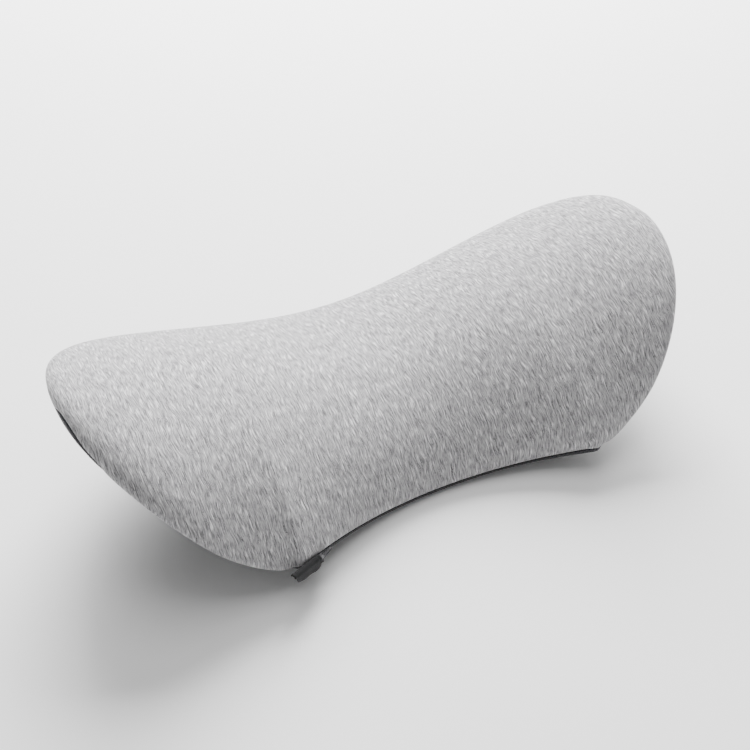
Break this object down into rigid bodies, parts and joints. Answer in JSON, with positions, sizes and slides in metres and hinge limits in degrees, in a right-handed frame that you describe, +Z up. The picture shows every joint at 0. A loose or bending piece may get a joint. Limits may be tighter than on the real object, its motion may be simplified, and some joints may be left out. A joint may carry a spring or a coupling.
{
  "type": "lumbar support cushion",
  "caption": "Contoured lumbar support cushion with curled wings, a scooped waist, a knitted front, a mesh back, a concealed zip and an elastic back strap.",
  "frame": {"origin": "on the surface it lies on, under the middle of its box", "axes": "+X along the length, +Y across towards the nearly straight far edge, +Z up out of the grey front"},
  "size_m": [0.439, 0.2094, 0.1118],
  "materials": {
    "grey_knit": "heathered light grey jersey knit, soft sheen",
    "dark_mesh": "charcoal spacer mesh",
    "foam": "moulded memory foam, off-white",
    "liner_cloth": "thin white liner cloth",
    "zip_tape": "charcoal woven tape",
    "zip_coil": "charcoal nylon coil",
    "slider_metal": "dark painted zinc, satin",
    "pull_plastic": "dark moulded pull, satin",
    "dark_tab": "charcoal woven tab",
    "elastic_webbing": "black ribbed elastic webbing",
    "patch_cloth": "charcoal patch with box stitching"
  },
  "bodies": {
    "cushion": {"foam_core": "foam", "inner_liner": "liner_cloth", "front_cover": "grey_knit", "back_cover": "dark_mesh", "zip_tape_front": "zip_tape", "zip_tape_back": "zip_tape", "zip_coil_front": "zip_coil", "zip_coil_back": "zip_coil", "zip_top_stops": "slider_metal", "zip_bottom_stop": "slider_metal", "zip_tab": "dark_tab", "back_strap": "elastic_webbing", "strap_patch_left": "patch_cloth", "strap_patch_right": "patch_cloth"},
    "slider": {"zip_slider": "slider_metal"},
    "pull": {"zip_pull": "pull_plastic"}
  },
  "joints": [
    {"name": "zip_travel", "type": "hinge", "parent": "cushion", "child": "slider", "pos_m": [0, -0.24318, 0.10905], "axis": [0, -0.5075, -0.8616], "range_deg": [0, 59.6]},
    {"name": "pull_flip", "type": "hinge", "parent": "slider", "child": "pull", "pos_m": [-0.09844, -0.09162, 0.01797], "axis": [-0.2469, -0.0552, -0.9675], "range_deg": [0, 100]}
  ]
}
